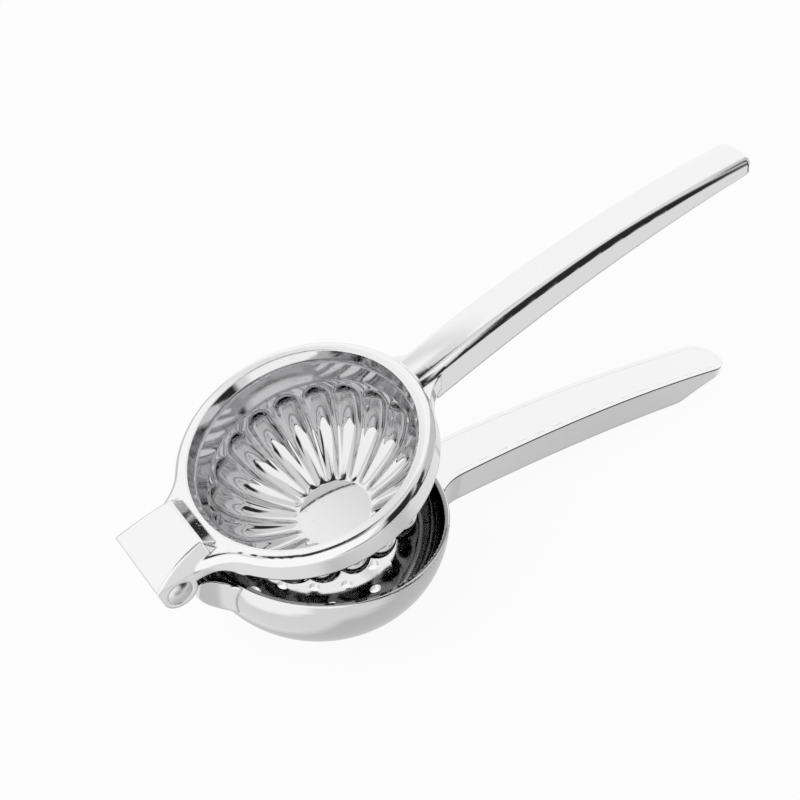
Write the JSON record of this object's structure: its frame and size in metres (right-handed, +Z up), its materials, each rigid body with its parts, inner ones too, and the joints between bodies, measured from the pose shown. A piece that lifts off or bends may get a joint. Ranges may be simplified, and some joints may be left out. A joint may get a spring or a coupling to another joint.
{
  "type": "lemon squeezer",
  "caption": "Hinged hand lemon squeezer in polished metal: a fluted press cup in the ring of the upper handle folds down into a strainer bowl on the lower handle.",
  "frame": {"origin": "on the surface the squeezer lies on, under the middle of its bounding box", "axes": "+X along the handles from the hinge to their tips, +Z up off the table, so the hinge axis lies along Y"},
  "size_m": [0.211, 0.0736, 0.0899],
  "materials": {
    "polished_casting": "mirror polished",
    "polished_sheet": "mirror polished, faintly drawn",
    "rivet": "satin"
  },
  "bodies": {
    "bowl_side": {"strainer_bowl": "polished_sheet", "hinge_lug": "polished_casting", "bowl_handle": "polished_casting", "bowl_handle_plate": "polished_sheet"},
    "press_side": {"press_arm": "polished_casting", "press_handle_plate": "polished_sheet", "press_cup": "polished_sheet", "hinge_pin": "rivet", "hinge_pin_cap": "rivet"}
  },
  "joints": [
    {"name": "press_hinge", "type": "hinge", "parent": "bowl_side", "child": "press_side", "pos_m": [-0.09946, 0, 0.04555], "axis": [0, -1, 0], "range_deg": [-22, 95]}
  ]
}
